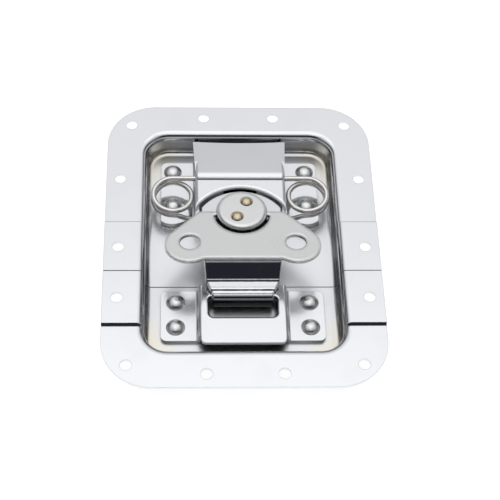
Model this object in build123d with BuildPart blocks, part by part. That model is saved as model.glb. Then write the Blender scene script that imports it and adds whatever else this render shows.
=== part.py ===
from build123d import *

# Recessed butterfly case latch.
#
# A two-part pressed dish carries a riveted hinge bracket and a riveted keeper.
# A carriage swings on the straight middle of a double coil spring.  On it a
# butterfly wing turns an eccentric spindle, which slides a claw in and out of
# the keeper's slot.
#
# Frame: origin at the centre of the four corner rivet holes, on the back face of
# the flange; +Y runs up the latch, +Z points out of the case.  Millimetres.
import os
from math import acos, atan2, cos, hypot, pi, radians, sin

# ---------------------------------------------------------------- clearances
fit_gap = 0.05          # radial, a fixed shank in its hole
turn_gap = 0.08         # radial, a part that turns on another
slide_gap = 0.12        # a part that slides in a slot
plate_gap = 0.1         # between flat plates that move on each other
part_gap = 0.35         # between curved parts that only pass each other

# ---------------------------------------------------------------------- dish
sheet = 1.2             # thickness of the dish sheet
plate_w = 112.0
plate_l = 140.0
plate_corner_r = 20.5
parting_y = -17.0       # where the two halves meet
parting_gap = 0.3
side_flange = 16.8      # flange from its edge to the recess's side wall
recess_w = plate_w - 2 * side_flange
recess_l = 106.6
recess_shift = 0.5      # the recess sits this far above the flange's centre
recess_corner_r = 9.5
recess_depth = 11.0     # flange top to floor top
rim_bend_r = 3.0        # outer radius where the flange turns down
floor_bend_r = 2.3      # inner radius where the wall meets the floor
band_top = 7.0          # the raised side band ends here, above and below
band_bottom = -41.5
band_rise = 1.2         # one sheet, so the band clears what it overlaps
riser_l = 1.1           # sloped part of the step at each end of a band
riser_foot = 0.15       # upright part below it

hole_r = 2.4            # rivet holes of the flange
corner_hole_edge = 10.0     # hole centre to the flange's edge
corner_hole_x = plate_w / 2 - corner_hole_edge
corner_hole_y = plate_l / 2 - corner_hole_edge
end_hole_x = 15.0           # the pair in each end of the flange
end_hole_y = plate_l / 2 - 6.0
side_hole_x = plate_w / 2 - 5.8
side_hole_ys = (30.5, -5.3, -29.8)

floor_z = sheet - recess_depth

# -------------------------------------------------------------------- spring
wire_r = 1.1
ring_r = 8.0            # centre line of the coils
turns = 1.5
pitch = 2.9
leg_l = 8.6             # the wire's straight end, towards the bracket
hinge_z = 0.2           # height of the straight wire
steps_per_turn = 10
coil_wall_gap = 1.75    # coil to the recess's side wall
coil_strap_gap = 0.4    # coil to the bracket's wall

# ------------------------------------------------------- bracket and keeper
strap = 1.6             # sheet thickness of bracket and keeper
strap_bend_r = 1.2      # where a foot turns up into a wall
edge_bend_r = 1.5       # where a wall turns into the web
foot_corner_r = 2.5
foot_top_z = floor_z + strap

rivet_r = 2.0           # shank
rivet_head_r = 3.85
rivet_head_h = 2.1
rivet_tail_r = 3.1      # the formed end under the floor
rivet_tail_h = 1.0

bracket_rivet_x = recess_w / 2 - coil_wall_gap - wire_r - ring_r
bracket_rivet_ys = (41.3, 23.4)
bracket_w = 2 * (bracket_rivet_x - ring_r - wire_r - coil_strap_gap)
bracket_foot_w = 2 * (bracket_rivet_x + 4.85)
bracket_y0 = 11.1
bracket_foot_y1 = 46.4
web_rise = 1.5          # web top above the flange top
tail_end_y = 51.1
tail_angle = 10.0       # the web falls away behind the hinge
tail_wall_h = 6.0       # height of the walls beyond the feet
tail_flare = 0.9        # the tail's end is wider by this at each side
tail_hollow = 0.7       # depth of the hollow in the tail's end
arc_r = 22.0            # round cut-out over the claw
arc_y = 3.1
arc_roll = 1.0          # rolled edge of the cut-out

keeper_wall_gap = 6.2   # foot to the recess's side wall
keeper_foot_w = recess_w - 2 * keeper_wall_gap
keeper_rivet_x = keeper_foot_w / 2 - 6.0
keeper_rivet_ys = (-25.5, -37.3)
keeper_w = 35.8
keeper_y1 = -20.0
keeper_y0 = -43.6
keeper_rise = 4.4       # keeper top above its feet
tongue_y = -47.1
tongue_step = 1.1       # the tongue is narrower by this at each side
tongue_corner_r = 2.0
slot_side = 4.4         # from the slot to the keeper's outer face
slot_y1 = -25.6         # the edge that the claw grips
slot_y0 = -34.7
slot_corner_r = 2.0     # at the slot's far edge
slot_grip_r = 1.2       # beside the claw's tip
slot_roll = 1.3         # rolled edge of the slot

web_z = sheet + web_rise
keeper_z = foot_top_z + keeper_rise
spring_y = bracket_rivet_ys[1]
hinge_y = spring_y + ring_r
leg_y = spring_y - ring_r
leg_z = foot_top_z + wire_r + fit_gap

# ------------------------------------------------------- moving frame sizes
hub_y = 8.2             # the spindle's axis at the claw's top face
hub_z = 4.5
hub_tilt = 5.5          # the claw's end of the mechanism stands higher
wing_lift = 3.5         # the folded wing stands this much off the claw

claw_t = 2.2
claw_w = 32.4
claw_round_r = 19.1
claw_round_y = -5.2
claw_flat_end = 23.2    # flat length below the spindle
claw_drop_y = 5.2       # the steep step down from the flat
claw_drop_z = 5.7
claw_crease_y = 3.4     # from the step's foot to the crease in the toe
claw_crease_z = 1.9
claw_nose_rise = 1.8    # nose above the keeper
claw_tip_drop = 3.4     # tip below the keeper's top
claw_low_w = 29.8
claw_tip_gap = 1.6      # from the tip to the slot's side
hook_gap = 0.3

throw = 3.0             # eccentric throw; the claw travels twice this
cam_r = 5.9
disc_r = 8.5
disc_t = 1.2
journal_r = 2.7
washer_r = 5.0
washer_t = 1.0
peen_r = 3.5
peen_h = 0.8
yoke_slack = 0.75       # half play of the cam along the claw's travel

guide_x = 8.0
guide_y = -18.0
guide_r = 1.9
guide_head_r = 3.2
guide_head_h = 1.0

carriage_t = 2.0
carriage_w = 2 * (guide_x + guide_head_r)
carriage_y1 = 10.0
carriage_y0 = -21.5
carriage_corner_r = 3.0
neck_w = 14.0
knuckle_wall = 0.62
crank_s = 10.0          # lowest bend of the neck, from the hinge
crank_z = -2.4
neck_t = 1.9


bar_r = 1.0             # the wing's round hinge bar
bar_half = 10.8
bar_drop = 1.0          # bar below the spindle's axis
wing_t = 1.8
wing_lip = 1.2          # plate above the bar's axis
wing_shoulder_x = 17.4
lobe_x = 21.7
lobe_y = -17.5
lobe_r = 9.65
wing_bottom_y = -25.2
wing_hole_x = 21.3
wing_hole_y = -16.25
wing_hole_r = 4.0
eye_r = 11.5            # round opening that clears the cap
eye_y = -0.1
wing_edge_r = 0.45
wing_shoulder_r = 1.6
wing_waist_r = 4.0

cap_r = 10.5
cap_wall = 1.2
cap_crown_t = 1.3
cap_shoulder_r = 1.8
cap_rivet_x = 2.0
cap_rivet_y = 4.1
cap_rivet_r = 1.2
cap_rivet_head_r = 2.7
cap_rivet_head_h = 1.25

# ------------------------------------------------------------ derived sizes
tongue_w = keeper_w - 2 * tongue_step
slot_w = keeper_w - 2 * slot_side
claw_tip_w = slot_w - 2 * claw_tip_gap
travel = 2 * throw
travel_angle = radians(hub_tilt)
hub_plane = Plane(
    origin=(0, hub_y, hub_z),
    x_dir=(1, 0, 0),
    z_dir=(0, sin(travel_angle), cos(travel_angle)),
)
hub_side = Plane(hub_plane.origin, x_dir=(1, 0, 0), z_dir=-hub_plane.y_dir)
hub_axis = Axis(hub_plane.origin, hub_plane.z_dir)
disc_bottom = plate_gap
disc_top = disc_bottom + disc_t
bar_h = disc_top + turn_gap + bar_r
cap_under = bar_h + bar_r + turn_gap + plate_gap
cap_top = cap_under + cap_crown_t
plate_top = -claw_t - 2 * plate_gap
plate_bottom = plate_top - carriage_t
washer_top = plate_bottom - plate_gap
washer_bottom = washer_top - washer_t

wing_angle = radians(hub_tilt + wing_lift)
bar_centre = hub_plane.from_local_coords(Vector(0, -bar_drop, bar_h))
wing_plane = Plane(
    origin=bar_centre,
    x_dir=(1, 0, 0),
    z_dir=(0, sin(wing_angle), cos(wing_angle)),
)
knuckle_r = wire_r + turn_gap + knuckle_wall
rib_inner_r = knuckle_r + part_gap


def at_hub(height):
    """The plane square to the spindle at a height above the claw's top."""
    return hub_plane.offset(height)


def recess_outline(grow):
    """A sketch of the recess in plan, grown outwards by an amount."""
    RectangleRounded(recess_w + 2 * grow, recess_l + 2 * grow, recess_corner_r + grow)


# ====================================================================== dish
with BuildPart() as dish:
    with BuildSketch() as flange_plan:
        RectangleRounded(plate_w, plate_l, plate_corner_r)
    extrude(amount=sheet)
    with BuildSketch(Plane.XY.offset(floor_z - sheet)) as tub_plan:
        with Locations((0, recess_shift)):
            recess_outline(sheet)
    extrude(amount=recess_depth)
    tub_foot = dish.faces().sort_by(Axis.Z)[0].edges()
    fillet(tub_foot, floor_bend_r + sheet)
    under_rim = dish.faces().filter_by(Plane.XY).sort_by(Axis.Z)[1].inner_wires()[0].edges()
    fillet(under_rim, rim_bend_r - sheet)
    with BuildSketch(Plane.XY.offset(floor_z)) as cavity_plan:
        with Locations((0, recess_shift)):
            recess_outline(0)
    extrude(amount=recess_depth, mode=Mode.SUBTRACT)
    cavity_floor = dish.faces().filter_by(Plane.XY).sort_by(Axis.Z)[1].edges()
    fillet(cavity_floor, floor_bend_r)
    cavity_rim = dish.faces().filter_by(Plane.XY).sort_by(Axis.Z)[-1].inner_wires()[0].edges()
    fillet(cavity_rim, rim_bend_r)

    # the raised side bands, with a riser one sheet long at each end
    band_l = band_top - band_bottom
    band_y = (band_top + band_bottom) / 2
    with BuildSketch(Plane.XY.offset(-rim_bend_r)) as low_sides:
        with Locations((0, band_y)):
            Rectangle(plate_w + 2, band_l)
            Rectangle(recess_w - 2, band_l, mode=Mode.SUBTRACT)
    extrude(amount=rim_bend_r + sheet + 1, mode=Mode.SUBTRACT)
    with BuildSketch(Plane.XZ.offset(-band_top - sheet)) as band_section:
        with BuildLine():
            FilletPolyline(
                (-plate_w / 2, sheet + band_rise),
                (-recess_w / 2, sheet + band_rise),
                (-recess_w / 2, floor_z),
                (recess_w / 2, floor_z),
                (recess_w / 2, sheet + band_rise),
                (plate_w / 2, sheet + band_rise),
                radius=[rim_bend_r, floor_bend_r, floor_bend_r, rim_bend_r],
            )
            offset(amount=sheet, side=Side.RIGHT)
        make_face()
    extrude(amount=band_l + 2 * sheet)
    crest = sheet + band_rise
    with BuildSketch(Plane.YZ) as riser_slopes:
        Polygon(
            (band_top + sheet - riser_l, crest),
            (band_top + sheet, sheet + riser_foot),
            (band_top + sheet, crest + 1),
            align=None,
        )
        Polygon(
            (band_bottom - sheet + riser_l, crest),
            (band_bottom - sheet, crest + 1),
            (band_bottom - sheet, sheet + riser_foot),
            align=None,
        )
    extrude(amount=plate_w, both=True, mode=Mode.SUBTRACT)

    with BuildSketch(Plane.XY.offset(-1)) as flange_holes:
        with Locations(
            *((x, y) for x in (-corner_hole_x, corner_hole_x) for y in (-corner_hole_y, corner_hole_y)),
            *((x, y) for x in (-end_hole_x, end_hole_x) for y in (-end_hole_y, end_hole_y)),
            *((x, y) for x in (-side_hole_x, side_hole_x) for y in side_hole_ys),
        ):
            Circle(hole_r)
    extrude(amount=sheet + band_rise + 2, mode=Mode.SUBTRACT)
    with BuildSketch(Plane.XY.offset(floor_z - sheet - 1)) as floor_holes:
        with Locations(
            *((x, y) for x in (-bracket_rivet_x, bracket_rivet_x) for y in bracket_rivet_ys),
            *((x, y) for x in (-keeper_rivet_x, keeper_rivet_x) for y in keeper_rivet_ys),
        ):
            Circle(rivet_r + fit_gap)
    extrude(amount=sheet + 2, mode=Mode.SUBTRACT)

with BuildPart() as upper_dish:
    add(dish.part)
    split(bisect_by=Plane.XZ.offset(-parting_y - parting_gap / 2), keep=Keep.BOTTOM)

with BuildPart() as lower_dish:
    add(dish.part)
    split(bisect_by=Plane.XZ.offset(-parting_y + parting_gap / 2), keep=Keep.TOP)


# =================================================================== bracket
def bracket_side(inset):
    """The bracket's side view, inset from its outer faces by an amount.

    The web runs level, rises over the hinge wire as a round rib and falls
    away behind it.
    """
    rib_r = rib_inner_r + strap - inset
    top = web_z - inset
    fall = radians(tail_angle)
    crown = (hinge_y + rib_r * sin(fall), hinge_z + rib_r * cos(fall))
    reach = tail_end_y + inset - crown[0]
    tail = (crown[0] + reach, crown[1] - reach * sin(fall) / cos(fall))
    front = bracket_y0 - inset
    foot = floor_z - inset
    Polygon((front, foot), (hinge_y, foot), (hinge_y, top), (front, top), align=None)
    Polygon((hinge_y, foot), (tail[0], foot), tail, crown, (hinge_y, hinge_z), align=None)
    with Locations((hinge_y, hinge_z)):
        Circle(rib_r)


def foot_pads(width, y0, y1, inner_w):
    """Two feet side by side, from the walls' inner faces outwards."""
    with Locations((0, (y0 + y1) / 2)):
        Rectangle(width, y1 - y0)
        Rectangle(inner_w, y1 - y0, mode=Mode.SUBTRACT)


def long_edges(part, x, z):
    """The edges that run along Y at a distance either side of the middle, at a height."""
    return part.edges().filter_by(Axis.Y).filter_by(
        lambda edge: abs(abs(edge.center().X) - x) < fit_gap and abs(edge.center().Z - z) < fit_gap
    )


with BuildPart() as tail_flap:
    with BuildSketch(Plane.YZ) as flap_outside:
        bracket_side(0)
    extrude(amount=bracket_w / 2 + tail_flare, both=True)
    with BuildSketch(Plane.YZ) as flap_inside:
        bracket_side(strap)
    extrude(amount=bracket_w, both=True, mode=Mode.SUBTRACT)
    with BuildSketch(Plane.XY.offset(-tail_wall_h)) as flap_plan:
        flare_y = hinge_y + rib_inner_r
        Polygon(
            (-bracket_w / 2, flare_y),
            (bracket_w / 2, flare_y),
            (bracket_w / 2 + tail_flare, tail_end_y),
            (-bracket_w / 2 - tail_flare, tail_end_y),
            align=None,
        )
    extrude(amount=tail_wall_h + web_z, mode=Mode.INTERSECT)

hollow_r = (bracket_w**2 / 4 + tail_hollow**2) / (2 * tail_hollow)

with BuildPart() as hinge_bracket:
    with BuildSketch(Plane.YZ) as web_outside:
        bracket_side(0)
    extrude(amount=bracket_w / 2, both=True)
    side_edges = hinge_bracket.faces().filter_by(Axis.X).edges()
    fillet(side_edges.filter_by(lambda edge: edge.center().Z > hinge_z), edge_bend_r)
    with BuildSketch(Plane.XY.offset(floor_z)) as bracket_feet:
        foot_pads(bracket_foot_w, bracket_y0, bracket_foot_y1, bracket_w - 2 * strap)
        fillet(bracket_feet.vertices().group_by(Axis.X)[0], foot_corner_r)
        fillet(bracket_feet.vertices().group_by(Axis.X)[-1], foot_corner_r)
    extrude(amount=strap)
    fillet(long_edges(hinge_bracket, bracket_w / 2, foot_top_z), strap_bend_r)
    with BuildSketch(Plane.YZ) as web_inside:
        bracket_side(strap)
    extrude(amount=bracket_w / 2 - strap, both=True, mode=Mode.SUBTRACT)
    fillet(long_edges(hinge_bracket, bracket_w / 2 - strap, floor_z), strap_bend_r + strap)
    with BuildSketch(Plane.XY.offset(floor_z)) as behind_feet:
        with Locations((0, (bracket_foot_y1 + tail_end_y) / 2 + 1)):
            Rectangle(bracket_w + 2, tail_end_y - bracket_foot_y1 + 2)
    extrude(amount=-floor_z - tail_wall_h, mode=Mode.SUBTRACT)
    with BuildSketch(Plane.XZ.offset(-arc_y)) as arc_half:
        with BuildLine():
            Polyline(
                (arc_r + arc_roll, web_z),
                (arc_r + arc_roll, web_z + 1),
                (0, web_z + 1),
                (0, web_z - strap - 1),
                (arc_r, web_z - strap - 1),
                (arc_r, web_z - arc_roll),
            )
            TangentArc((arc_r, web_z - arc_roll), (arc_r + arc_roll, web_z), tangent=(0, 1))
        make_face()
    revolve(axis=Axis((0, arc_y, 0), (0, 0, 1)), mode=Mode.SUBTRACT)
    add(tail_flap.part)
    with BuildSketch(Plane.XY.offset(-tail_wall_h)) as tail_end:
        with Locations((0, tail_end_y - tail_hollow + hollow_r)):
            Circle(hollow_r)
    extrude(amount=tail_wall_h + web_z, mode=Mode.SUBTRACT)
    with BuildSketch(Plane.YZ) as wire_holes:
        with Locations((hinge_y, hinge_z)):
            Circle(wire_r + fit_gap)
    extrude(amount=bracket_w, both=True, mode=Mode.SUBTRACT)
    with BuildSketch(Plane.XY.offset(floor_z - 1)) as bracket_holes:
        with Locations(*((x, y) for x in (-bracket_rivet_x, bracket_rivet_x) for y in bracket_rivet_ys)):
            Circle(rivet_r + fit_gap)
    extrude(amount=strap + 2, mode=Mode.SUBTRACT)

with BuildPart() as keeper_plate:
    keeper_l = keeper_y1 - keeper_y0
    keeper_mid = (keeper_y1 + keeper_y0) / 2
    with BuildSketch(Plane.XY.offset(floor_z)) as keeper_block:
        with Locations((0, keeper_mid)):
            Rectangle(keeper_w, keeper_l)
    extrude(amount=keeper_z - floor_z)
    fillet(long_edges(keeper_plate, keeper_w / 2, keeper_z), edge_bend_r)
    with BuildSketch(Plane.XY.offset(keeper_z - strap)) as tongue_plan:
        with Locations((0, (tongue_y + keeper_mid) / 2)):
            RectangleRounded(tongue_w, keeper_mid - tongue_y, tongue_corner_r)
    extrude(amount=strap)
    with BuildSketch(Plane.XY.offset(floor_z)) as keeper_feet:
        foot_pads(keeper_foot_w, keeper_y0, keeper_y1, keeper_w - 2 * strap)
        fillet(keeper_feet.vertices().group_by(Axis.X)[0], foot_corner_r)
        fillet(keeper_feet.vertices().group_by(Axis.X)[-1], foot_corner_r)
    extrude(amount=strap)
    fillet(long_edges(keeper_plate, keeper_w / 2, foot_top_z), strap_bend_r)
    with BuildSketch(Plane.XY.offset(floor_z)) as keeper_space:
        with Locations((0, keeper_mid)):
            Rectangle(keeper_w - 2 * strap, keeper_l + 2)
    extrude(amount=keeper_z - strap - floor_z, mode=Mode.SUBTRACT)
    fillet(long_edges(keeper_plate, keeper_w / 2 - strap, floor_z), strap_bend_r + strap)
    with BuildSketch(Plane.XY.offset(keeper_z - strap - 1)) as slot_plan:
        with Locations((0, (slot_y0 + slot_y1) / 2)):
            Rectangle(slot_w, slot_y1 - slot_y0)
        fillet(slot_plan.vertices().group_by(Axis.Y)[0], slot_corner_r)
        fillet(slot_plan.vertices().group_by(Axis.Y)[-1], slot_grip_r)
    extrude(amount=strap + 2, mode=Mode.SUBTRACT)
    slot_rim = keeper_plate.faces().filter_by(Plane.XY).sort_by(Axis.Z)[-1].inner_wires()[0].edges()
    fillet(slot_rim, slot_roll)
    with BuildSketch(Plane.XY.offset(floor_z - 1)) as keeper_holes:
        with Locations(*((x, y) for x in (-keeper_rivet_x, keeper_rivet_x) for y in keeper_rivet_ys)):
            Circle(rivet_r + fit_gap)
    extrude(amount=strap + 2, mode=Mode.SUBTRACT)


def round_rivet(x, y):
    """A domed rivet from a foot's top through the floor to its formed tail."""
    with BuildPart() as rivet:
        with BuildSketch(Plane((x, y, 0), x_dir=(1, 0, 0), z_dir=(0, -1, 0))) as half:
            with BuildLine():
                bulge_r = (rivet_head_r**2 + rivet_head_h**2) / (2 * rivet_head_h)
                RadiusArc((0, foot_top_z + rivet_head_h), (rivet_head_r, foot_top_z), bulge_r)
                Polyline(
                    (rivet_head_r, foot_top_z),
                    (rivet_r, foot_top_z),
                    (rivet_r, floor_z - sheet),
                    (rivet_tail_r, floor_z - sheet),
                    (rivet_tail_r - rivet_tail_h / 2, floor_z - sheet - rivet_tail_h),
                    (0, floor_z - sheet - rivet_tail_h),
                    (0, foot_top_z + rivet_head_h),
                )
            make_face()
        revolve(axis=Axis((x, y, 0), (0, 0, 1)))
    return rivet.part


# ==================================================================== spring
def coil_point(turn):
    """A point of the right coil's centre line, turns counted from the top."""
    angle = 2 * pi * turn
    return (
        bracket_rivet_x + ring_r * sin(angle),
        spring_y + ring_r * cos(angle),
        hinge_z - pitch * turn,
    )


def coil_heading(turn):
    """The direction in which the wire runs at a point of the coil."""
    angle = 2 * pi * turn
    return Vector(ring_r * cos(angle), -ring_r * sin(angle), -pitch / (2 * pi))


with BuildPart() as lift_spring:
    with BuildLine() as wire_path:
        stations = [i / steps_per_turn for i in range(int(turns * steps_per_turn) + 1)]
        coil_end = coil_point(turns)
        leg_end = (bracket_rivet_x - leg_l, leg_y, leg_z)
        Line((0, hinge_y, hinge_z), coil_point(0))
        Spline(
            *(coil_point(station) for station in stations),
            tangents=[Vector(1, 0, 0), *(coil_heading(station) for station in stations[1:])],
        )
        Spline(coil_end, leg_end, tangents=[coil_heading(turns), Vector(-1, 0, 0)])
    with BuildSketch(Plane.YZ) as wire_section:
        with Locations((hinge_y, hinge_z)):
            Circle(wire_r)
    sweep(path=wire_path.line)
    mirror(about=Plane.YZ)


# ================================================================= mechanism
with BuildPart() as carriage:
    with BuildSketch(at_hub(plate_bottom)) as carriage_plan:
        with Locations((0, (carriage_y0 + carriage_y1) / 2)):
            RectangleRounded(carriage_w, carriage_y1 - carriage_y0, carriage_corner_r)
    extrude(amount=carriage_t)
    with BuildSketch(Plane.YZ) as neck_side:
        join_top = hub_plane.from_local_coords(Vector(0, carriage_y1 - 1, plate_top))
        join_low = hub_plane.from_local_coords(Vector(0, carriage_y1 - 1, plate_bottom))
        Polygon(
            (join_top.Y, join_top.Z),
            (hinge_y - crank_s, hinge_z + crank_z),
            (hinge_y, hinge_z - knuckle_r / 2),
            (hinge_y, hinge_z - knuckle_r / 2 - neck_t),
            (hinge_y - crank_s - neck_t / 3, hinge_z + crank_z - neck_t),
            (join_low.Y, join_low.Z),
            align=None,
        )
        with Locations((hinge_y, hinge_z)):
            Circle(knuckle_r)
    extrude(amount=neck_w / 2, both=True)
    with BuildSketch(Plane.YZ) as knuckle_bore:
        with Locations((hinge_y, hinge_z)):
            Circle(wire_r + turn_gap)
    extrude(amount=neck_w, both=True, mode=Mode.SUBTRACT)
    with BuildSketch(at_hub(plate_bottom - 1)) as carriage_holes:
        Circle(journal_r + turn_gap)
        with Locations((-guide_x, guide_y), (guide_x, guide_y)):
            Circle(guide_r + fit_gap)
    extrude(amount=carriage_t + 2, mode=Mode.SUBTRACT)

with BuildPart() as cam_spindle:
    with BuildSketch(at_hub(disc_bottom)) as disc_plan:
        Circle(disc_r)
        with Locations((cap_rivet_x, cap_rivet_y), (-cap_rivet_x, -cap_rivet_y)):
            Circle(cap_rivet_r + fit_gap, mode=Mode.SUBTRACT)
    extrude(amount=disc_t)
    with BuildSketch(at_hub(plate_top + plate_gap)) as cam_plan:
        with Locations((0, throw)):
            Circle(cam_r)
    extrude(amount=claw_t + 2 * plate_gap)
    with BuildSketch(at_hub(washer_bottom)) as journal_plan:
        Circle(journal_r)
    extrude(amount=plate_top + plate_gap - washer_bottom)
    with BuildSketch(at_hub(washer_bottom - peen_h)) as peen_plan:
        Circle(peen_r)
    extrude(amount=peen_h)
    peened = cam_spindle.faces().filter_by(Axis((0, 0, 0), hub_plane.z_dir)).sort_by(Axis.Z)[0]
    fillet(peened.edges(), peen_h * 0.7)

with BuildPart() as spindle_washer:
    with BuildSketch(at_hub(washer_bottom)) as washer_plan:
        Circle(washer_r)
        Circle(journal_r + fit_gap, mode=Mode.SUBTRACT)
    extrude(amount=washer_t)

with BuildPart() as claw:
    flat_start = hub_plane.from_local_coords(Vector(0, claw_round_r + claw_round_y + 2, 0))
    flat_end = hub_plane.from_local_coords(Vector(0, -claw_flat_end, 0))
    step_foot = (flat_end.Y - claw_drop_y, flat_end.Z - claw_drop_z)
    crease = (step_foot[0] - claw_crease_y, step_foot[1] - claw_crease_z)
    nose = (slot_y1 - hook_gap - claw_t, keeper_z + claw_nose_rise)
    tip = (nose[0], keeper_z - claw_tip_drop)
    with BuildSketch(Plane.YZ) as claw_side:
        with BuildLine():
            FilletPolyline(
                (flat_start.Y, flat_start.Z),
                (flat_end.Y, flat_end.Z),
                step_foot,
                crease,
                nose,
                tip,
                radius=[3.4, 1.4, 4.0, 3.3],
            )
            offset(amount=claw_t, side=Side.LEFT)
        make_face()
    extrude(amount=claw_w, both=True)
    low_z = hub_plane.to_local_coords(Vector(0, *tip)).Z - claw_t
    with BuildSketch(at_hub(low_z)) as claw_plan:
        foot_y = hub_plane.to_local_coords(Vector(0, *step_foot)).Y
        nose_y = hub_plane.to_local_coords(Vector(0, *nose)).Y + claw_t + hook_gap
        Polygon(
            (-claw_w / 2, claw_round_y),
            (-claw_w / 2, -claw_flat_end + claw_drop_y),
            (-claw_low_w / 2, foot_y),
            (-claw_tip_w / 2, nose_y),
            (-claw_tip_w / 2, nose_y - 3 * claw_t),
            (claw_tip_w / 2, nose_y - 3 * claw_t),
            (claw_tip_w / 2, nose_y),
            (claw_low_w / 2, foot_y),
            (claw_w / 2, -claw_flat_end + claw_drop_y),
            (claw_w / 2, claw_round_y),
            align=None,
        )
        with BuildSketch(mode=Mode.PRIVATE) as round_top:
            with Locations((0, claw_round_y)):
                Circle(claw_round_r)
            with Locations((0, claw_round_y + claw_round_r / 2)):
                Rectangle(claw_w, claw_round_r, mode=Mode.INTERSECT)
        add(round_top.sketch)
    extrude(amount=claw_t - low_z, mode=Mode.INTERSECT)
    with BuildSketch(at_hub(-claw_t - 1)) as claw_openings:
        with Locations((0, throw)):
            SlotOverall(2 * (cam_r + throw + slide_gap), 2 * (cam_r + yoke_slack))
        with Locations((-guide_x, guide_y + throw), (guide_x, guide_y + throw)):
            SlotCenterToCenter(
                travel + 2 * slide_gap, 2 * (guide_r + slide_gap), rotation=90
            )
    extrude(amount=claw_t + 2, mode=Mode.SUBTRACT)


def guide_rivet(x):
    """A shouldered rivet that keeps the claw straight on the carriage."""
    with BuildPart() as rivet:
        with BuildSketch(at_hub(plate_bottom)) as shank:
            with Locations((x, guide_y)):
                Circle(guide_r)
        extrude(amount=plate_gap - plate_bottom)
        with BuildSketch(at_hub(plate_gap)) as head:
            with Locations((x, guide_y)):
                Circle(guide_head_r)
        extrude(amount=guide_head_h)
        with BuildSketch(at_hub(plate_bottom - guide_head_h / 2)) as tail:
            with Locations((x, guide_y)):
                Circle(guide_head_r - guide_head_h / 2)
        extrude(amount=guide_head_h / 2)
    return rivet.part


with BuildPart() as wing:
    shoulder = (wing_shoulder_x, wing_lip)
    run = (lobe_x - shoulder[0], lobe_y - shoulder[1])
    reach = hypot(*run)
    touch = atan2(run[1], run[0]) + pi - acos(lobe_r / reach)
    rim = (lobe_x + lobe_r * cos(touch), lobe_y + lobe_r * sin(touch))
    with BuildSketch(wing_plane.offset(-wing_t / 2)) as wing_plan:
        Polygon(
            (-shoulder[0], shoulder[1]),
            (-rim[0], rim[1]),
            (-lobe_x, lobe_y),
            (-lobe_x, wing_bottom_y),
            (lobe_x, wing_bottom_y),
            (lobe_x, lobe_y),
            rim,
            shoulder,
            align=None,
        )
        with Locations((-lobe_x, lobe_y), (lobe_x, lobe_y)):
            Circle(lobe_r)
        waist = wing_plan.vertices().filter_by(lambda vertex: abs(vertex.Y - wing_bottom_y) < fit_gap)
        fillet(waist, wing_waist_r)
        fillet(wing_plan.vertices().group_by(Axis.Y)[-1], wing_shoulder_r)
        with Locations((-wing_hole_x, wing_hole_y), (wing_hole_x, wing_hole_y)):
            Circle(wing_hole_r, mode=Mode.SUBTRACT)
    extrude(amount=wing_t)
    broad_faces = wing.faces().filter_by(Axis((0, 0, 0), wing_plane.z_dir))
    fillet(broad_faces.edges(), wing_edge_r)
    with BuildSketch(wing_plane.offset(-wing_t)) as eye_plan:
        with Locations((0, eye_y)):
            Circle(eye_r)
        with Locations((0, -wing_lip - eye_r)):
            Rectangle(2 * eye_r, 2 * eye_r, mode=Mode.INTERSECT)
        Rectangle(2 * bar_half, 2 * wing_lip + fit_gap)
    extrude(amount=2 * wing_t, mode=Mode.SUBTRACT)
    with BuildSketch(Plane.YZ.offset(-bar_half - 1)) as bar_section:
        with Locations((bar_centre.Y, bar_centre.Z)):
            Circle(bar_r)
    extrude(amount=2 * bar_half + 2)

with BuildPart() as hub_cap:
    with BuildSketch(hub_side) as cap_half:
        with BuildLine():
            FilletPolyline(
                (0, cap_top),
                (cap_r, cap_top),
                (cap_r, disc_bottom + 2 * plate_gap),
                radius=cap_shoulder_r,
            )
            Polyline(
                (cap_r, disc_bottom + 2 * plate_gap),
                (cap_r - cap_wall, disc_bottom + 2 * plate_gap),
                (cap_r - cap_wall, cap_under),
                (0, cap_under),
                (0, cap_top),
            )
        make_face()
    revolve(axis=hub_axis)
    with BuildSketch(hub_plane) as bar_notch:
        with Locations((0, -bar_drop)):
            Rectangle(2 * cap_r + 2, 2 * (bar_r + part_gap))
    extrude(amount=cap_under - plate_gap, mode=Mode.SUBTRACT)
    with BuildSketch(at_hub(cap_under - 1)) as cap_holes:
        with Locations((cap_rivet_x, cap_rivet_y), (-cap_rivet_x, -cap_rivet_y)):
            Circle(cap_rivet_r + fit_gap)
    extrude(amount=cap_crown_t + 2, mode=Mode.SUBTRACT)


def cap_rivet(x, y):
    """A small domed rivet that ties the cap to the spindle's disc."""
    centre = hub_plane.from_local_coords(Vector(x, y, 0))
    with BuildPart() as rivet:
        with BuildSketch(Plane(centre, x_dir=(1, 0, 0), z_dir=-hub_plane.y_dir)) as half:
            with BuildLine():
                bulge_r = (cap_rivet_head_r**2 + cap_rivet_head_h**2) / (2 * cap_rivet_head_h)
                RadiusArc((0, cap_top + cap_rivet_head_h), (cap_rivet_head_r, cap_top), bulge_r)
                Polyline(
                    (cap_rivet_head_r, cap_top),
                    (cap_rivet_r, cap_top),
                    (cap_rivet_r, disc_bottom + plate_gap),
                    (0, disc_bottom + plate_gap),
                    (0, cap_top + cap_rivet_head_h),
                )
            make_face()
        revolve(axis=Axis(centre, hub_plane.z_dir))
    return rivet.part


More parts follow.
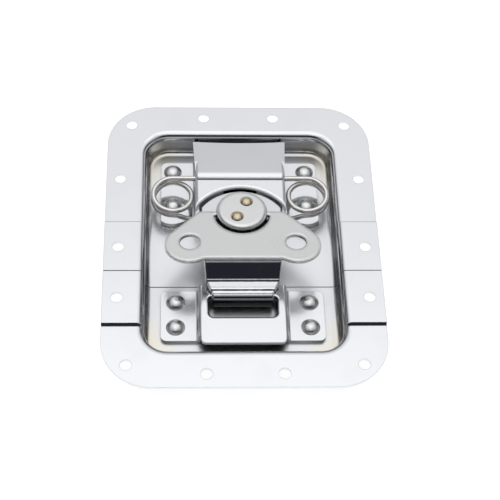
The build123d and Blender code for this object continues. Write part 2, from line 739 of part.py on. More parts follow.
# ==================================================================== export
os.makedirs("parts", exist_ok=True)
upper_dish.part.label = "upper_dish"
export_step(upper_dish.part, "parts/upper_dish.step")
lower_dish.part.label = "lower_dish"
export_step(lower_dish.part, "parts/lower_dish.step")
hinge_bracket.part.label = "hinge_bracket"
export_step(hinge_bracket.part, "parts/hinge_bracket.step")
keeper_plate.part.label = "keeper_plate"
export_step(keeper_plate.part, "parts/keeper_plate.step")
lift_spring.part.label = "lift_spring"
export_step(lift_spring.part, "parts/lift_spring.step")
carriage.part.label = "carriage"
export_step(carriage.part, "parts/carriage.step")
cam_spindle.part.label = "cam_spindle"
export_step(cam_spindle.part, "parts/cam_spindle.step")
spindle_washer.part.label = "spindle_washer"
export_step(spindle_washer.part, "parts/spindle_washer.step")
claw.part.label = "claw"
export_step(claw.part, "parts/claw.step")
wing.part.label = "wing"
export_step(wing.part, "parts/wing.step")
hub_cap.part.label = "hub_cap"
export_step(hub_cap.part, "parts/hub_cap.step")

rivets = {
    "guide_rivet_1": guide_rivet(-guide_x),
    "guide_rivet_2": guide_rivet(guide_x),
    "cap_rivet_1": cap_rivet(cap_rivet_x, cap_rivet_y),
    "cap_rivet_2": cap_rivet(-cap_rivet_x, -cap_rivet_y),
}
bracket_spots = ((x, y) for x in (-bracket_rivet_x, bracket_rivet_x) for y in bracket_rivet_ys)
keeper_spots = ((x, y) for x in (-keeper_rivet_x, keeper_rivet_x) for y in keeper_rivet_ys)
for number, (x, y) in enumerate(bracket_spots, 1):
    rivets[f"bracket_rivet_{number}"] = round_rivet(x, y)
for number, (x, y) in enumerate(keeper_spots, 1):
    rivets[f"keeper_rivet_{number}"] = round_rivet(x, y)
for name, rivet in rivets.items():
    rivet.label = name
    export_step(rivet, f"parts/{name}.step")
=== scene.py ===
"""Finishes, studio and camera for a recessed butterfly case latch.

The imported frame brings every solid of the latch.  This script gives each of
them its plated or turned finish, stands the latch on a pale floor under soft
light and sets the camera.  Lengths are metres, in the row frame: +Y runs from
the keeper to the hinge and +Z points out of the case.
"""
from __future__ import annotations

import logging
import math
from dataclasses import dataclass
from enum import Enum
from typing import Sequence

import bpy
from mathutils import Euler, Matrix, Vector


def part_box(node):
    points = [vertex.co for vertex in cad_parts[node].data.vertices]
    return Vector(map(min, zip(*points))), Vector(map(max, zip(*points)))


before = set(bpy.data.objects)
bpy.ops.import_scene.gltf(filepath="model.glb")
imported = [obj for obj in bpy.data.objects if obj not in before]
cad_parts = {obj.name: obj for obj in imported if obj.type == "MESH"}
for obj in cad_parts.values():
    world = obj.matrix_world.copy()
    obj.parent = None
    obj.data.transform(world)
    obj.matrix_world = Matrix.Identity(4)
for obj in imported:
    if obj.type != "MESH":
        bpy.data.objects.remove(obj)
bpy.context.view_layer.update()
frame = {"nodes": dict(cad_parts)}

log = logging.getLogger("latch")

Socket = bpy.types.NodeSocket
Triple = tuple[float, float, float]
Feed = float | Socket
Paint = Triple | Socket


class Plating(Enum):
    """The colours of the latch's metal, of the film that gathers on it and of the near black
    painted shade, as linear base colours.
    """

    ZINC = (0.800, 0.812, 0.830)
    NICKEL = (0.790, 0.790, 0.785)
    STEEL = (0.730, 0.730, 0.725)
    WIRE = (0.850, 0.835, 0.800)
    BRASS = (0.660, 0.570, 0.410)
    STAIN = (0.900, 0.790, 0.540)
    # near black painted shade, on the claw's low hook and tip and along its creases
    PAINTED_SHADE = (0.030, 0.030, 0.036)


class Lay(Enum):
    """How much a surface's fine lines are squeezed along X, Y and Z."""

    ALONG_X = (1.0, 14.0, 1.0)
    NONE = (1.0, 1.0, 1.0)


# ------------------------------------------------------------ node graphs
class Graph:
    """A node tree with short calls that add nodes and wire them."""

    def __init__(self, tree: bpy.types.NodeTree) -> None:
        """Take the material, group or world node tree to build in."""
        self.tree = tree

    def add(self, kind: str, **values: object) -> bpy.types.Node:
        """Add a node and set its properties and inputs.

        Args:
            kind: the node's type name, without the ShaderNode prefix.
            values: properties by name, or inputs by name with underscores.

        Returns:
            The new node.
        """
        node = self.tree.nodes.new("ShaderNode" + kind)
        for name, value in values.items():
            if hasattr(node, name):
                setattr(node, name, value)
            else:
                self.feed(node.inputs[name.replace("_", " ")], value)
        return node

    def wire(self, source: Socket, target: Socket) -> None:
        """Link one socket to another."""
        self.tree.links.new(source, target)

    def feed(self, target: Socket, value: object) -> None:
        """Link a socket, or set a plain value.

        Args:
            target: the input to fill.
            value: a socket, or the value that the input takes.
        """
        if isinstance(value, Socket):
            self.wire(value, target)
        else:
            target.default_value = value

    def calc(self, operation: str, *operands: Feed, clamp: bool = False) -> Socket:
        """Add a Math node.

        Args:
            operation: the Math node's operation.
            operands: numbers or sockets, in order.
            clamp: keep the result between 0 and 1.

        Returns:
            The node's output socket.
        """
        node = self.add("Math", operation=operation, use_clamp=clamp)
        for target, operand in zip(node.inputs, operands):
            self.feed(target, operand)
        return node.outputs[0]

    def ease(self, value: Socket, low: float, high: float) -> Socket:
        """Add a smooth step.

        Args:
            value: the socket to map.
            low: the value that gives 0.
            high: the value that gives 1.

        Returns:
            The mapped socket.
        """
        node = self.add(
            "MapRange", interpolation_type="SMOOTHSTEP", Value=value, From_Min=low, From_Max=high
        )
        return node.outputs["Result"]

    def mix(self, share: Feed, first: Paint, second: Paint) -> Socket:
        """Add a colour mix.

        Args:
            share: the share of the second colour.
            first: the colour or socket at share 0.
            second: the colour or socket at share 1.

        Returns:
            The mixed colour's socket.
        """
        node = self.add("Mix", data_type="RGBA")
        factor, first_colour, second_colour = (node.inputs[index] for index in (0, 6, 7))
        self.feed(factor, share)
        for target, paint in ((first_colour, first), (second_colour, second)):
            self.feed(target, paint if isinstance(paint, Socket) else (*paint, 1.0))
        return node.outputs[2]

    def place(self) -> Socket:
        """Return the object's own coordinates."""
        return self.add("TexCoord").outputs["Object"]

    def split(self, vector: Socket) -> bpy.types.NodeOutputs:
        """Return a vector's X, Y and Z sockets."""
        return self.add("SeparateXYZ", Vector=vector).outputs


class EffectGroup:
    """A shader node group with named inputs and one output, which several finishes share."""

    name = "effect"
    inputs: dict[str, float] = {}
    output = "Mask"

    def tree(self) -> bpy.types.NodeTree:
        """Return the group's tree, built at the first call."""
        found = bpy.data.node_groups.get(self.name)
        if found:
            return found
        tree = bpy.data.node_groups.new(self.name, "ShaderNodeTree")
        kind = "NodeSocketFloat"
        for label, default in self.inputs.items():
            socket = tree.interface.new_socket(label, in_out="INPUT", socket_type=kind)
            socket.default_value = default
        tree.interface.new_socket(self.output, in_out="OUTPUT", socket_type=kind)
        graph = Graph(tree)
        entry = tree.nodes.new("NodeGroupInput")
        leave = tree.nodes.new("NodeGroupOutput")
        graph.wire(self.build(graph, entry.outputs), leave.inputs[self.output])
        return tree

    def build(self, graph: Graph, given: bpy.types.NodeOutputs) -> Socket:
        """Build the group's nodes.

        Args:
            graph: the group's tree.
            given: the group's inputs, by name.

        Returns:
            The socket that the group puts out.
        """
        raise NotImplementedError

    def put(self, graph: Graph, **values: float) -> Socket:
        """Put the group in a material.

        Args:
            graph: the material's tree.
            values: the group's inputs by name.

        Returns:
            The group's output socket.
        """
        node = graph.add("Group", node_tree=self.tree(), **values)
        return node.outputs[self.output]


class PressWaves(EffectGroup):
    """The slow unevenness that pressing leaves in bright sheet."""

    name = "press_waves"
    inputs = {"Scale": 40.0}
    output = "Height"

    def build(self, graph: Graph, given: bpy.types.NodeOutputs) -> Socket:
        """Build soft noise over the object's own coordinates.

        Args:
            graph: the group's tree.
            given: the waves' scale.

        Returns:
            The waves' height.
        """
        noise = graph.add(
            "TexNoise", Vector=graph.place(), Scale=given["Scale"], Detail=1.0, Roughness=0.4
        )
        return noise.outputs["Fac"]


class FineGrain(EffectGroup):
    """Fine lines or a fine orange peel, stretched along one direction."""

    name = "fine_grain"
    inputs = {"Scale": 900.0, "StretchX": 1.0, "StretchY": 1.0, "StretchZ": 1.0}
    output = "Value"

    def build(self, graph: Graph, given: bpy.types.NodeOutputs) -> Socket:
        """Build stretched noise over the object's own coordinates.

        Args:
            graph: the group's tree.
            given: the grain's scale and its stretch along each axis.

        Returns:
            The grain, about 0.5.
        """
        stretch = graph.add("CombineXYZ")
        for axis in "XYZ":
            graph.wire(given["Stretch" + axis], stretch.inputs[axis])
        scaled = graph.add("VectorMath", operation="MULTIPLY")
        graph.wire(graph.place(), scaled.inputs[0])
        graph.wire(stretch.outputs[0], scaled.inputs[1])
        noise = graph.add("TexNoise", Vector=scaled.outputs[0], Scale=given["Scale"], Detail=3.0)
        return noise.outputs["Fac"]


class HandlingMarks(EffectGroup):
    """Faint rubs and hairlines left by handling."""

    name = "handling_marks"
    inputs = {"Scale": 60.0, "Amount": 0.3}

    hairline_scale = 220.0
    hairline_width = 0.012
    patch_rise = (0.5, 0.68)
    patch_strength = 0.35

    def build(self, graph: Graph, given: bpy.types.NodeOutputs) -> Socket:
        """Build patches of thin, bent lines.

        Args:
            graph: the group's tree.
            given: the patches' scale and the marks' strength.

        Returns:
            The mask of the marks.
        """
        place = graph.place()
        patches = graph.add("TexNoise", Vector=place, Scale=given["Scale"], Detail=2.0)
        bent = graph.add(
            "TexNoise", Vector=place, Scale=self.hairline_scale, Detail=1.0, Distortion=2.5
        )
        line = graph.calc("ABSOLUTE", graph.calc("SUBTRACT", bent.outputs["Fac"], 0.5))
        thin = graph.calc("SUBTRACT", 1.0, graph.ease(line, 0.0, self.hairline_width))
        patch = graph.ease(patches.outputs["Fac"], *self.patch_rise)
        mark = graph.calc("MULTIPLY", thin, patch)
        soft = graph.calc("MULTIPLY_ADD", patch, self.patch_strength, mark)
        return graph.calc("MULTIPLY", soft, given["Amount"], clamp=True)


class EdgeGleam(EffectGroup):
    """A mask of the rounded edges of a sheet or turned piece, worn smoother, with a painted
    highlight.
    """

    name = "edge_gleam"
    inputs = {"Amount": 1.0, "Radius": 0.0003}

    turn_rise = (0.01, 0.16)

    def build(self, graph: Graph, given: bpy.types.NodeOutputs) -> Socket:
        """Compare the true normal with one rounded over a small radius.

        Args:
            graph: the group's tree.
            given: the gleam's strength and the edge's radius.

        Returns:
            The mask of the edges.
        """
        bevel = graph.add("Bevel", samples=4, Radius=given["Radius"])
        match = graph.add("VectorMath", operation="DOT_PRODUCT")
        graph.wire(bevel.outputs[0], match.inputs[0])
        graph.wire(graph.add("NewGeometry").outputs["Normal"], match.inputs[1])
        turned = graph.calc("SUBTRACT", 1.0, match.outputs["Value"])
        edge = graph.ease(turned, *self.turn_rise)
        return graph.calc("MULTIPLY", edge, given["Amount"], clamp=True)


class CornerStain(EffectGroup):
    """Where a warm film of plating pools: low down in the recess's corners."""

    name = "corner_stain"
    inputs = {"HalfWidth": 0.0392, "HalfLength": 0.0533, "Shift": 0.0005, "Reach": 0.02}

    height_rise = (-0.0105, -0.0065)
    length_weight = 0.7
    cloud_scale = 90.0
    cloud_strength = 0.9
    cloud_base = 0.35

    def build(self, graph: Graph, given: bpy.types.NodeOutputs) -> Socket:
        """Build a mask that grows towards the four corners and down the wall.

        Args:
            graph: the group's tree.
            given: half the recess's width and length, its shift along Y and the film's reach.

        Returns:
            The mask of the film.
        """
        place = graph.place()
        parts = graph.split(place)
        across = graph.calc("ABSOLUTE", parts["X"])
        along = graph.calc("ABSOLUTE", graph.calc("SUBTRACT", parts["Y"], given["Shift"]))
        inside_x = graph.calc("MAXIMUM", graph.calc("SUBTRACT", given["HalfWidth"], across), 0.0)
        inside_y = graph.calc("MAXIMUM", graph.calc("SUBTRACT", given["HalfLength"], along), 0.0)
        corner = graph.calc("ADD", inside_x, graph.calc("MULTIPLY", inside_y, self.length_weight))
        share = graph.calc("DIVIDE", corner, given["Reach"])
        near = graph.calc("SUBTRACT", 1.0, share, clamp=True)
        low = graph.calc("SUBTRACT", 1.0, graph.ease(parts["Z"], *self.height_rise))
        noise = graph.add("TexNoise", Vector=place, Scale=self.cloud_scale, Detail=3.0)
        cloud = noise.outputs["Fac"]
        uneven = graph.calc("MULTIPLY_ADD", cloud, self.cloud_strength, self.cloud_base)
        return graph.calc("MULTIPLY", graph.calc("MULTIPLY", near, low), uneven, clamp=True)


class Crevices(EffectGroup):
    """A mask of the deep, narrow places that little light reaches, where shade is painted into
    the colour.
    """

    name = "crevices"
    inputs = {"Reach": 0.009, "Amount": 1.0}

    open_rise = (0.12, 0.48)

    def build(self, graph: Graph, given: bpy.types.NodeOutputs) -> Socket:
        """Ease the share of shut-in directions into a mask.

        Args:
            graph: the group's tree.
            given: how far apart a crevice's sides may be and how strong the mask is.

        Returns:
            The mask of the crevices.
        """
        near = graph.add("AmbientOcclusion", samples=8, Distance=given["Reach"])
        shut = graph.calc("SUBTRACT", 1.0, graph.ease(near.outputs["AO"], *self.open_rise))
        return graph.calc("MULTIPLY", shut, given["Amount"], clamp=True)


class FlatParts(EffectGroup):
    """A mask of what lies flat, as against walls and rolled edges."""

    name = "flat_parts"

    level_rise = (0.60, 0.92)

    def build(self, graph: Graph, given: bpy.types.NodeOutputs) -> Socket:
        """Ease the height of the surface's own normal into a mask.

        Args:
            graph: the group's tree.
            given: nothing, as the group has no inputs.

        Returns:
            The mask of the flat parts.
        """
        normal = graph.split(graph.add("TexCoord").outputs["Normal"])
        return graph.ease(graph.calc("ABSOLUTE", normal["Z"]), *self.level_rise)


class MattRim(EffectGroup):
    """A mask of the matt, hammered rim round an arc-shaped cut-out."""

    name = "matt_rim"
    inputs = {"Centre": 0.0031, "Inner": 0.02175, "Outer": 0.0231, "Fade": 0.0002, "Lowest": 0.0}

    def build(self, graph: Graph, given: bpy.types.NodeOutputs) -> Socket:
        """Keep a ring between two radii, above a height.

        Args:
            graph: the group's tree.
            given: the arc's centre on Y, the ring's radii, its fade and the least height.

        Returns:
            The mask of the rim.
        """
        parts = graph.split(graph.place())
        along = graph.calc("SUBTRACT", parts["Y"], given["Centre"])
        square = graph.calc("MULTIPLY", along, along)
        radius = graph.calc("SQRT", graph.calc("MULTIPLY_ADD", parts["X"], parts["X"], square))
        from_inner = graph.calc("SUBTRACT", radius, given["Inner"])
        from_outer = graph.calc("SUBTRACT", given["Outer"], radius)
        inside = graph.calc("DIVIDE", from_inner, given["Fade"], clamp=True)
        outside = graph.calc("DIVIDE", from_outer, given["Fade"], clamp=True)
        above = graph.calc("GREATER_THAN", parts["Z"], given["Lowest"])
        return graph.calc("MULTIPLY", graph.calc("MULTIPLY", inside, outside), above)


class BendLine(EffectGroup):
    """A mask of a thin, ragged line of painted shade across the sheet, where a bend is sharp."""

    name = "bend_line"
    inputs = {"Along": 0.0, "HalfWidth": 0.0003, "Depth": 1.0}

    wobble_scale = 500.0
    wobble = 0.5
    edge_rise = (0.7, 1.3)

    def build(self, graph: Graph, given: bpy.types.NodeOutputs) -> Socket:
        """Measure the distance to the line and wobble its edge a little.

        Args:
            graph: the group's tree.
            given: the line's Y, half its width and how dark it is.

        Returns:
            The mask of the line.
        """
        place = graph.place()
        offset = graph.calc("SUBTRACT", graph.split(place)["Y"], given["Along"])
        share = graph.calc("DIVIDE", graph.calc("ABSOLUTE", offset), given["HalfWidth"])
        noise = graph.add("TexNoise", Vector=place, Scale=self.wobble_scale, Detail=2.0)
        ragged = graph.calc("MULTIPLY_ADD", noise.outputs["Fac"], self.wobble, share)
        line = graph.calc("SUBTRACT", 1.0, graph.ease(ragged, *self.edge_rise))
        return graph.calc("MULTIPLY", line, given["Depth"], clamp=True)


PRESS_WAVES = PressWaves()
FINE_GRAIN = FineGrain()
HANDLING_MARKS = HandlingMarks()
EDGE_GLEAM = EdgeGleam()
CORNER_STAIN = CornerStain()
CREVICES = Crevices()
FLAT_PARTS = FlatParts()
MATT_RIM = MattRim()
BEND_LINE = BendLine()


# --------------------------------------------------------------- finishes
RUBBED_SHADE = 0.86  # how far a rub dulls the plating's colour
PAINTED_EDGE_HIGHLIGHT = 1.25  # how far the painted highlight on a rounded edge brightens it
PAINTED_CREVICE_SHADE = 0.05  # how much of the colour the painted shade leaves at the bottom of a crevice
GLEAM_POLISH = 0.3  # the share of its roughness that a worn edge loses
RIM_METALLIC = 0.2  # how metallic the hammered rim is
LOW_FADE = 0.001  # how gradually the low parts start, up and down
GRAIN_RELIEF = 0.00005  # height of the fine lines at a grain of 1
GRAIN_STRENGTH = 0.25  # strength of their bump


def shaded(colour: Triple, factor: float) -> Triple:
    """Darken or brighten a colour, to no more than white.

    Args:
        colour: the colour to start from.
        factor: what each of its parts is multiplied by.

    Returns:
        The new colour.
    """
    red, green, blue = (min(1.0, factor * part) for part in colour)
    return red, green, blue


@dataclass(frozen=True)
class Crease:
    """A line of painted shade across a bent sheet.

    Attributes:
        along: the line's Y.
        half_width: half the line's width.
        depth: how dark the line is, from 0 to 1.
    """

    along: float
    half_width: float
    depth: float = 1.0


@dataclass(frozen=True)
class PlatedFinish:
    """A plated metal surface.

    Attributes:
        name: the material's name.
        plating: the colour of the plating.
        roughness: the roughness of a clean stretch.
        rubbed: roughness added where the surface is rubbed.
        lay: the direction of the fine lines.
        grain: how much the fine lines change the roughness.
        grain_scale: lines per metre.
        wave: height of the slow unevenness.
        marks: strength of the handling marks.
        gleam: how strongly the rounded edges take a painted highlight and wear smoother.
        stained: whether a warm film gathers in the recess's corners.
        matt_rim: whether the rim of the arc-shaped cut-out is hammered matt.
        low_roughness: roughness of the low parts, where it differs.
        steep_roughness: roughness of the walls and rolled edges, where it differs.
        low_painted_shade: the near black painted shade on the low parts, where it is wanted.
        low_height: the height under which the low parts start.
        edge_round: how far the sheet's edges look rounded.
        creases: the lines of painted shade across the sheet, at its bends.
        painted_crevice_shade: how dark the painted shade in the crevices is.
        painted_crevice_reach: how far apart a crevice's sides may be.
    """

    name: str
    plating: Plating
    roughness: float = 0.12
    rubbed: float = 0.12
    lay: Lay = Lay.NONE
    grain: float = 0.04
    grain_scale: float = 900.0
    wave: float = 0.00004
    marks: float = 0.3
    gleam: float = 0.5
    stained: bool = False
    matt_rim: bool = False
    low_roughness: float | None = None
    steep_roughness: float | None = None
    low_painted_shade: Plating | None = None
    low_height: float = -0.004
    edge_round: float = 0.0003
    creases: tuple[Crease, ...] = ()
    painted_crevice_shade: float = 0.9
    painted_crevice_reach: float = 0.009

    def material(self) -> bpy.types.Material:
        """Return the finish's material, built at the first call."""
        found = bpy.data.materials.get(self.name)
        if found:
            return found
        material = bpy.data.materials.new(self.name)
        material.use_nodes = True
        graph = Graph(material.node_tree)
        shader = material.node_tree.nodes["Principled BSDF"].inputs
        shader["Metallic"].default_value = 1.0
        if self.matt_rim:
            rim = MATT_RIM.put(graph)
            metallic = graph.calc("MULTIPLY_ADD", rim, RIM_METALLIC - 1.0, 1.0)
            graph.wire(metallic, shader["Metallic"])
        marks = HANDLING_MARKS.put(graph, Amount=self.marks)
        gleam = EDGE_GLEAM.put(graph, Amount=self.gleam, Radius=self.edge_round)
        grain = self._grain(graph)
        graph.wire(self._colour(graph, marks, gleam), shader["Base Color"])
        graph.wire(self._roughness(graph, marks, gleam, grain), shader["Roughness"])
        graph.wire(self._normal(graph, grain), shader["Normal"])
        return material

    def _grain(self, graph: Graph) -> Socket:
        """Place the fine grain along the finish's lay."""
        x, y, z = self.lay.value
        return FINE_GRAIN.put(graph, Scale=self.grain_scale, StretchX=x, StretchY=y, StretchZ=z)

    def _colour(self, graph: Graph, marks: Socket, gleam: Socket) -> Socket:
        """Mix the plating's colour with its rubs, film, painted edge highlight and painted shade.

        Args:
            graph: the material's tree.
            marks: the mask of the handling marks.
            gleam: the mask of the worn edges.

        Returns:
            The colour's socket.
        """
        base = self.plating.value
        colour = graph.mix(marks, base, shaded(base, RUBBED_SHADE))
        # painted highlight: the rounded edges' colour is brightened
        colour = graph.mix(gleam, colour, shaded(base, PAINTED_EDGE_HIGHLIGHT))
        if self.stained:
            colour = graph.mix(CORNER_STAIN.put(graph), colour, Plating.STAIN.value)
        # the low parts take near black painted shade, where the finish asks for it
        if self.low_painted_shade:
            colour = graph.mix(self._high(graph), self.low_painted_shade.value, colour)
        # each crease paints a thin line of shade, near black, across its bend
        for crease in self.creases:
            line = BEND_LINE.put(
                graph, Along=crease.along, HalfWidth=crease.half_width, Depth=crease.depth
            )
            colour = graph.mix(line, colour, Plating.PAINTED_SHADE.value)
        # painted shade: the crevices' colour is darkened towards near black
        crevice = CREVICES.put(graph, Amount=self.painted_crevice_shade, Reach=self.painted_crevice_reach)
        return graph.mix(crevice, colour, shaded(base, PAINTED_CREVICE_SHADE))

    def _roughness(self, graph: Graph, marks: Socket, gleam: Socket, grain: Socket) -> Socket:
        """Add the rubs and the grain to the clean roughness, and polish the edges.

        Args:
            graph: the material's tree.
            marks: the mask of the handling marks.
            gleam: the mask of the worn edges.
            grain: the fine lines, about 0.5.

        Returns:
            The roughness's socket.
        """
        centred = graph.calc("SUBTRACT", grain, 0.5)
        clean = self._clean_roughness(graph)
        lined = graph.calc("MULTIPLY_ADD", centred, self.grain * 2.0, clean)
        rubbed = graph.calc("MULTIPLY_ADD", marks, self.rubbed, lined)
        polished = graph.calc("MULTIPLY", gleam, -GLEAM_POLISH * self.roughness)
        return graph.calc("ADD", rubbed, polished, clamp=True)

    def _clean_roughness(self, graph: Graph) -> Feed:
        """Allow for the low and the steep parts in the clean roughness.

        Args:
            graph: the material's tree.

        Returns:
            A number, or a socket where some parts differ.
        """
        clean: Feed = self.roughness
        if self.low_roughness is not None:
            rise = self.roughness - self.low_roughness
            clean = graph.calc("MULTIPLY_ADD", self._high(graph), rise, self.low_roughness)
        if self.steep_roughness is not None:
            rise = graph.calc("SUBTRACT", clean, self.steep_roughness)
            clean = graph.calc("MULTIPLY_ADD", FLAT_PARTS.put(graph), rise, self.steep_roughness)
        return clean

    def _high(self, graph: Graph) -> Socket:
        """Return a mask of what lies above the low parts."""
        height = graph.split(graph.place())["Z"]
        return graph.ease(height, self.low_height - LOW_FADE, self.low_height + LOW_FADE)

    def _normal(self, graph: Graph, grain: Socket) -> Socket:
        """Raise the slow waves and the grain as bumps over rounded edges.

        Args:
            graph: the material's tree.
            grain: the fine lines, about 0.5.

        Returns:
            The normal's socket.
        """
        rounded = graph.add("Bevel", samples=6, Radius=self.edge_round).outputs["Normal"]
        waves = PRESS_WAVES.put(graph)
        slow = graph.add("Bump", Strength=1.0, Distance=self.wave, Height=waves, Normal=rounded)
        fine = graph.add(
            "Bump",
            Strength=GRAIN_STRENGTH,
            Distance=self.grain * GRAIN_RELIEF,
            Height=grain,
            Normal=slow.outputs["Normal"],
        )
        return fine.outputs["Normal"]


DISH_FINISH = PlatedFinish(
    "bright_zinc_dish",
    Plating.ZINC,
    roughness=0.14,
    stained=True,
    wave=0.00005,
    low_roughness=0.30,
    low_height=-0.0087,
    steep_roughness=0.11,
)
KEEPER_FINISH = PlatedFinish(
    "bright_zinc_keeper",
    Plating.ZINC,
    roughness=0.14,
    wave=0.00003,
    low_roughness=0.2,
    painted_crevice_reach=0.012,
)
STRAP_FINISH = PlatedFinish("bright_zinc_strap", Plating.ZINC, wave=0.00003)
WEB_FINISH = PlatedFinish(
    "satin_zinc_web",
    Plating.ZINC,
    roughness=0.21,
    lay=Lay.ALONG_X,
    grain=0.03,
    low_roughness=0.12,
    steep_roughness=0.40,
    matt_rim=True,
    wave=0.00002,
    edge_round=0.0001,
)
CLAW_FINISH = PlatedFinish(
    "bright_zinc_claw",
    Plating.ZINC,
    roughness=0.08,
    wave=0.00003,
    edge_round=0.0007,
    # the claw's hook and tip, low down by the keeper's slot, are painted near black as shade
    low_painted_shade=Plating.PAINTED_SHADE,
    low_height=-0.0026,
    # lines of painted shade across the toe's bends
    creases=(
        Crease(-0.02085, 0.0005),
        Crease(-0.0242, 0.0005),
        Crease(-0.0256, 0.0003, 0.7),
        Crease(-0.0266, 0.0009, 0.45),
    ),
)
WING_FINISH = PlatedFinish(
    "satin_nickel_wing",
    Plating.NICKEL,
    roughness=0.25,
    lay=Lay.ALONG_X,
    grain=0.02,
    gleam=1.0,
    edge_round=0.0018,
)
CAP_FINISH = PlatedFinish(
    "satin_nickel_cap", Plating.NICKEL, roughness=0.20, grain=0.02, edge_round=0.0018
)
RIVET_FINISH = PlatedFinish("bright_rivet", Plating.NICKEL, roughness=0.25, wave=0.00001)
CAP_RIVET_FINISH = PlatedFinish("brass_cap_rivet", Plating.BRASS, roughness=0.17, marks=0.5)
WIRE_FINISH = PlatedFinish("polished_wire", Plating.WIRE, roughness=0.26, painted_crevice_shade=0.5)
TURNED_FINISH = PlatedFinish(
    "turned_steel", Plating.STEEL, roughness=0.25, grain=0.08, grain_scale=2500.0
)


# ----------------------------------------------------------- sub-assemblies
def numbered(stem: str, count: int, finish: PlatedFinish) -> dict[str, PlatedFinish]:
    """Give one finish to solids that are numbered from 1.

    Args:
        stem: the solids' name without its number.
        count: how many there are.
        finish: the finish of each.

    Returns:
        The finish of each solid, by node name.
    """
    return {f"{stem}_{number}": finish for number in range(1, count + 1)}


class SubAssembly:
    """Solids of the frame that share a purpose."""

    title: str

    def finishes(self) -> dict[str, PlatedFinish]:
        """Return the finish of each solid, by node name."""
        raise NotImplementedError

    def dress(self, nodes: dict[str, bpy.types.Object]) -> None:
        """Give each solid its material.

        Args:
            nodes: the frame's objects by node name.
        """
        for name, finish in self.finishes().items():
            slots = nodes[name].data.materials
            slots.clear()
            slots.append(finish.material())
            log.info("%s: %s is %s", self.title, name, finish.name)


@dataclass
class Dish(SubAssembly):
    """The two pressed halves of the recessed dish."""

    title: str = "dish"

    def finishes(self) -> dict[str, PlatedFinish]:
        """Return the finish of both halves."""
        return {"upper_dish": DISH_FINISH, "lower_dish": DISH_FINISH}


@dataclass
class Bracket(SubAssembly):
    """The hinge bracket with its rivets.

    Attributes:
        rivets: how many rivets hold the bracket.
    """

    title: str = "bracket"
    rivets: int = 4

    def finishes(self) -> dict[str, PlatedFinish]:
        """Return the finish of the strap and of each rivet."""
        rivets = numbered("bracket_rivet", self.rivets, RIVET_FINISH)
        return {"hinge_bracket": WEB_FINISH, **rivets}


@dataclass
class Keeper(SubAssembly):
    """The keeper plate with its rivets.

    Attributes:
        rivets: how many rivets hold the keeper.
    """

    title: str = "keeper"
    rivets: int = 4

    def finishes(self) -> dict[str, PlatedFinish]:
        """Return the finish of the plate and of each rivet."""
        rivets = numbered("keeper_rivet", self.rivets, RIVET_FINISH)
        return {"keeper_plate": KEEPER_FINISH, **rivets}


@dataclass
class Mechanism(SubAssembly):
    """The spring, carriage, claw, eccentric, wing and cap.

    Attributes:
        guide_rivets: how many rivets guide the claw.
        cap_rivets: how many rivets the cap has.
    """

    title: str = "mechanism"
    guide_rivets: int = 2
    cap_rivets: int = 2

    def finishes(self) -> dict[str, PlatedFinish]:
        """Return the finish of each moving piece."""
        return {
            "lift_spring": WIRE_FINISH,
            "carriage": STRAP_FINISH,
            **numbered("guide_rivet", self.guide_rivets, RIVET_FINISH),
            "claw": CLAW_FINISH,
            "cam_spindle": TURNED_FINISH,
            "spindle_washer": TURNED_FINISH,
            "wing": WING_FINISH,
            "hub_cap": CAP_FINISH,
            **numbered("cap_rivet", self.cap_rivets, CAP_RIVET_FINISH),
        }


# ----------------------------------------------------------------- studio
# Each sky gives pairs of height and brightness, from the horizon at 0 to overhead at 1.
Sky = tuple[tuple[float, float], ...]

BEHIND_SKY: Sky = (
    (0.0, 0.10),
    (0.25, 0.35),
    (0.50, 0.69),
    (0.59, 0.80),
    (0.66, 0.84),
    (0.76, 0.92),
    (0.81, 0.95),
    (0.87, 1.20),
    (1.0, 1.20),
)
FRONT_SKY: Sky = (
    (0.0, 0.50),
    (0.30, 0.42),
    (0.44, 0.02),
    (0.60, 0.015),
    (0.78, 0.05),
    (0.82, 0.14),
    (0.86, 0.45),
    (0.89, 1.0),
    (0.925, 1.0),
    (0.935, 0.12),
    (0.942, 0.12),
    (0.952, 1.15),
    (1.0, 1.20),
)
SIDE_SKY: Sky = (
    (0.0, 0.55),
    (0.29, 0.45),
    (0.37, 0.02),
    (0.50, 0.05),
    (0.62, 0.25),
    (0.75, 0.80),
    (0.90, 1.05),
    (1.0, 1.15),
)


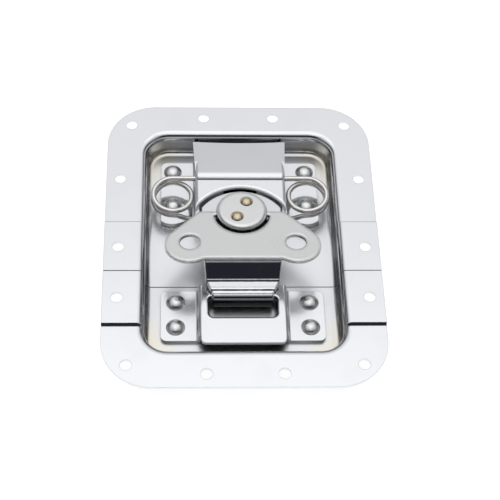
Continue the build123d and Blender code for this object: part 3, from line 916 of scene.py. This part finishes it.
@dataclass
class Studio:
    """The pale floor, the soft surroundings and the camera.

    Attributes:
        floor_half: half the floor's side.
        floor_drop: the floor's clearance under the latch.
        floor_grey: the floor's own colour.
        floor_glow: how much the floor glows, as a light table does.
        sky_tint: the sky's red, green and blue at brightness 1.
        sky_blue: blue added to all of the sky, which shows in its dark bands.
        behind_rise: the direction's Y from which the sky behind fades in, and to which.
        side_rise: the direction's X from which the side sky fades in, and to which.
        lamp_power: power of the overhead lamp, in watts.
        lamp_side: the overhead lamp's side.
        lamp_height: height of the overhead lamp.
        camera_place: where the camera stands.
        camera_turn: the camera's turn in degrees, about X, then Y, then Z.
        lens_mm: the camera's focal length in millimetres.
        sensor_mm: the width of the camera's sensor in millimetres.
        nearest: the nearest that the camera sees.
    """

    floor_half: float = 3.0
    floor_drop: float = 0.00005
    floor_grey: Triple = (0.18, 0.18, 0.18)
    floor_glow: float = 0.9
    sky_tint: Triple = (1.0, 1.005, 1.01)
    sky_blue: float = 0.008
    behind_rise: tuple[float, float] = (-0.15, 0.45)
    side_rise: tuple[float, float] = (0.35, 0.8)
    lamp_power: float = 9.0
    lamp_side: float = 1.2
    lamp_height: float = 0.9
    camera_place: Triple = (-0.02463, -0.33281, 0.46432)
    camera_turn: Triple = (35.193, -2.811, -0.01)
    lens_mm: float = 100.5
    sensor_mm: float = 36.0
    nearest: float = 0.01

    def build(self, lowest: float) -> None:
        """Build the whole studio.

        Args:
            lowest: the height of the latch's lowest point.
        """
        self.aim_camera()
        self.lay_floor(lowest - self.floor_drop)
        self.surround()
        self.hang_lamp()
        bpy.context.scene.view_settings.view_transform = "Standard"

    def aim_camera(self) -> None:
        """Stand the camera in front of the latch, above it."""
        data = bpy.data.cameras.new("camera")
        data.lens = self.lens_mm
        data.sensor_width = self.sensor_mm
        data.clip_start = self.nearest
        camera = bpy.data.objects.new("camera", data)
        camera.location = self.camera_place
        about_x, about_y, about_z = (math.radians(angle) for angle in self.camera_turn)
        turn = Euler((about_x, 0, 0)).to_matrix() @ Euler((0, about_y, 0)).to_matrix()
        turn = turn @ Euler((0, 0, about_z)).to_matrix()
        camera.rotation_euler = turn.to_euler()
        bpy.context.scene.collection.objects.link(camera)
        bpy.context.scene.camera = camera
        log.info("studio: camera with a %.1f mm lens", self.lens_mm)

    def lay_floor(self, height: float) -> None:
        """Make the floor, which isn't part of the latch.

        Args:
            height: the floor's height.
        """
        signs = ((-1, -1), (1, -1), (1, 1), (-1, 1))
        corners = [(x * self.floor_half, y * self.floor_half, height) for x, y in signs]
        mesh = bpy.data.meshes.new("floor")
        mesh.from_pydata(corners, [], [(0, 1, 2, 3)])
        floor = bpy.data.objects.new("floor", mesh)
        bpy.context.scene.collection.objects.link(floor)
        material = bpy.data.materials.new("pale_floor")
        material.use_nodes = True
        shader = material.node_tree.nodes["Principled BSDF"].inputs
        shader["Base Color"].default_value = (*self.floor_grey, 1.0)
        shader["Roughness"].default_value = 0.9
        shader["Specular IOR Level"].default_value = 0.0
        shader["Emission Color"].default_value = (1.0, 1.0, 1.0, 1.0)
        shader["Emission Strength"].default_value = self.floor_glow
        mesh.materials.append(material)
        log.info("studio: floor at %.5f m", height)

    def surround(self) -> None:
        """Make the sky: bright overhead, grey behind and dark halfway up in front and beside."""
        world = bpy.data.worlds.new("soft_room")
        bpy.context.scene.world = world
        world.use_nodes = True
        graph = Graph(world.node_tree)
        way = graph.split(graph.add("TexCoord").outputs["Generated"])
        behind = self._ramp(graph, way["Z"], BEHIND_SKY)
        front = self._ramp(graph, way["Z"], FRONT_SKY)
        side = self._ramp(graph, way["Z"], SIDE_SKY)
        is_behind = graph.ease(way["Y"], *self.behind_rise)
        is_side = graph.ease(graph.calc("ABSOLUTE", way["X"]), *self.side_rise)
        sky = graph.mix(is_side, graph.mix(is_behind, front, behind), side)
        graph.wire(sky, world.node_tree.nodes["Background"].inputs["Color"])

    def _ramp(self, graph: Graph, height: Socket, sky: Sky) -> Socket:
        """Map a direction's height to a grey.

        Args:
            graph: the world's tree.
            height: the direction's Z, from -1 to 1.
            sky: pairs of height and brightness.

        Returns:
            The colour's socket.
        """
        node = graph.add("ValToRGB", Fac=graph.calc("MAXIMUM", height, 0.0))
        elements = node.color_ramp.elements
        while len(elements) < len(sky):
            elements.new(0.5)
        red, green, blue = self.sky_tint
        for element, (place, grey) in zip(elements, sky):
            element.position = place
            element.color = (grey * red, grey * green, grey * blue + self.sky_blue, 1.0)
        return node.outputs["Color"]

    def hang_lamp(self) -> None:
        """Hang a wide, soft lamp overhead, which the bright metal doesn't mirror."""
        data = bpy.data.lights.new("overhead", "AREA")
        data.shape = "SQUARE"
        data.size = self.lamp_side
        data.energy = self.lamp_power
        lamp = bpy.data.objects.new("overhead", data)
        lamp.location = (0.0, 0.0, self.lamp_height)
        lamp.visible_glossy = False
        bpy.context.scene.collection.objects.link(lamp)


def main() -> None:
    """Dress the latch and build the studio at the height of its lowest point."""
    logging.basicConfig(level=logging.INFO, format="%(name)s: %(message)s")
    nodes = frame["nodes"]
    for assembly in (Dish(), Bracket(), Keeper(), Mechanism()):
        assembly.dress(nodes)
    lowest = min(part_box(name)[0].z for name in nodes)
    Studio().build(lowest)


if __name__ == "__main__":
    main()
